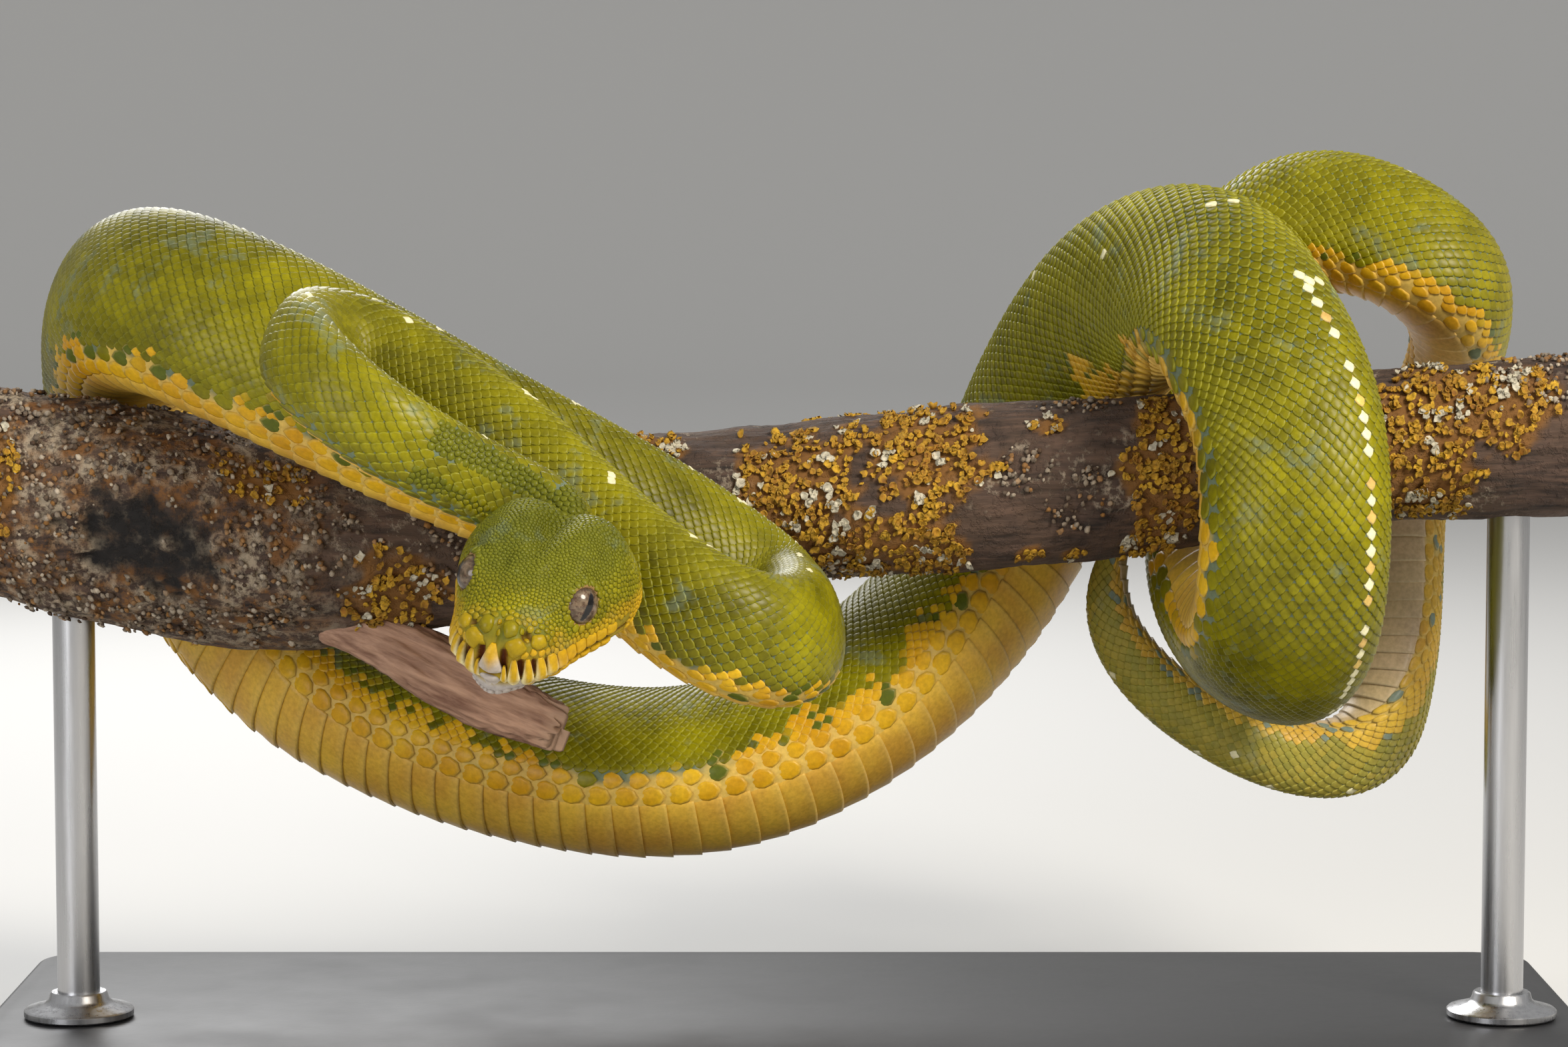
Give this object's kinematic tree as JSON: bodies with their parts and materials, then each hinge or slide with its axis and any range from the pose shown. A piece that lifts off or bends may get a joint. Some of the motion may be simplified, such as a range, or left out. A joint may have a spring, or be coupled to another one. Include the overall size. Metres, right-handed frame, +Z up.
{
  "type": "green tree python model",
  "caption": "Life-size still model of a green tree python coiled on a cut length of branch, held on a plain display stand.",
  "frame": {"origin": "centre of the stand's underside", "axes": "+X along the branch, towards the snake's tail; -Y the side that the head faces; +Z up"},
  "size_m": [0.392, 0.2386, 0.2179],
  "materials": {
    "skin": "smooth satin scales, green above and yellow below",
    "lips": "satin yellow scales",
    "eye": "clear glossy spectacle over a speckled brown iris",
    "bark": "rough dark bark with lichen",
    "stand_paint": "satin black paint over board",
    "stand_metal": "brushed"
  },
  "bodies": {
    "root": {"eye_left": "eye", "eye_right": "eye", "head": "skin", "lower_jaw": "lips", "neck_01": "skin", "neck_02": "skin", "trunk_01": "skin", "trunk_02": "skin", "trunk_03": "skin", "trunk_04": "skin", "trunk_05": "skin", "trunk_06": "skin", "trunk_07": "skin", "trunk_08": "skin", "trunk_09": "skin", "trunk_10": "skin", "trunk_11": "skin", "trunk_12": "skin", "trunk_13": "skin", "trunk_14": "skin", "trunk_15": "skin", "trunk_16": "skin", "trunk_17": "skin", "trunk_18": "skin", "trunk_19": "skin", "trunk_20": "skin", "trunk_21": "skin", "tail_01": "skin", "tail_02": "skin", "tail_03": "skin", "tail_04": "skin", "tail_05": "skin", "perch_branch": "bark", "perch_shard": "bark", "stand_base": "stand_paint", "stand_rod_left": "stand_metal", "stand_foot_left": "stand_metal", "stand_rod_right": "stand_metal", "stand_foot_right": "stand_metal"}
  },
  "joints": []
}
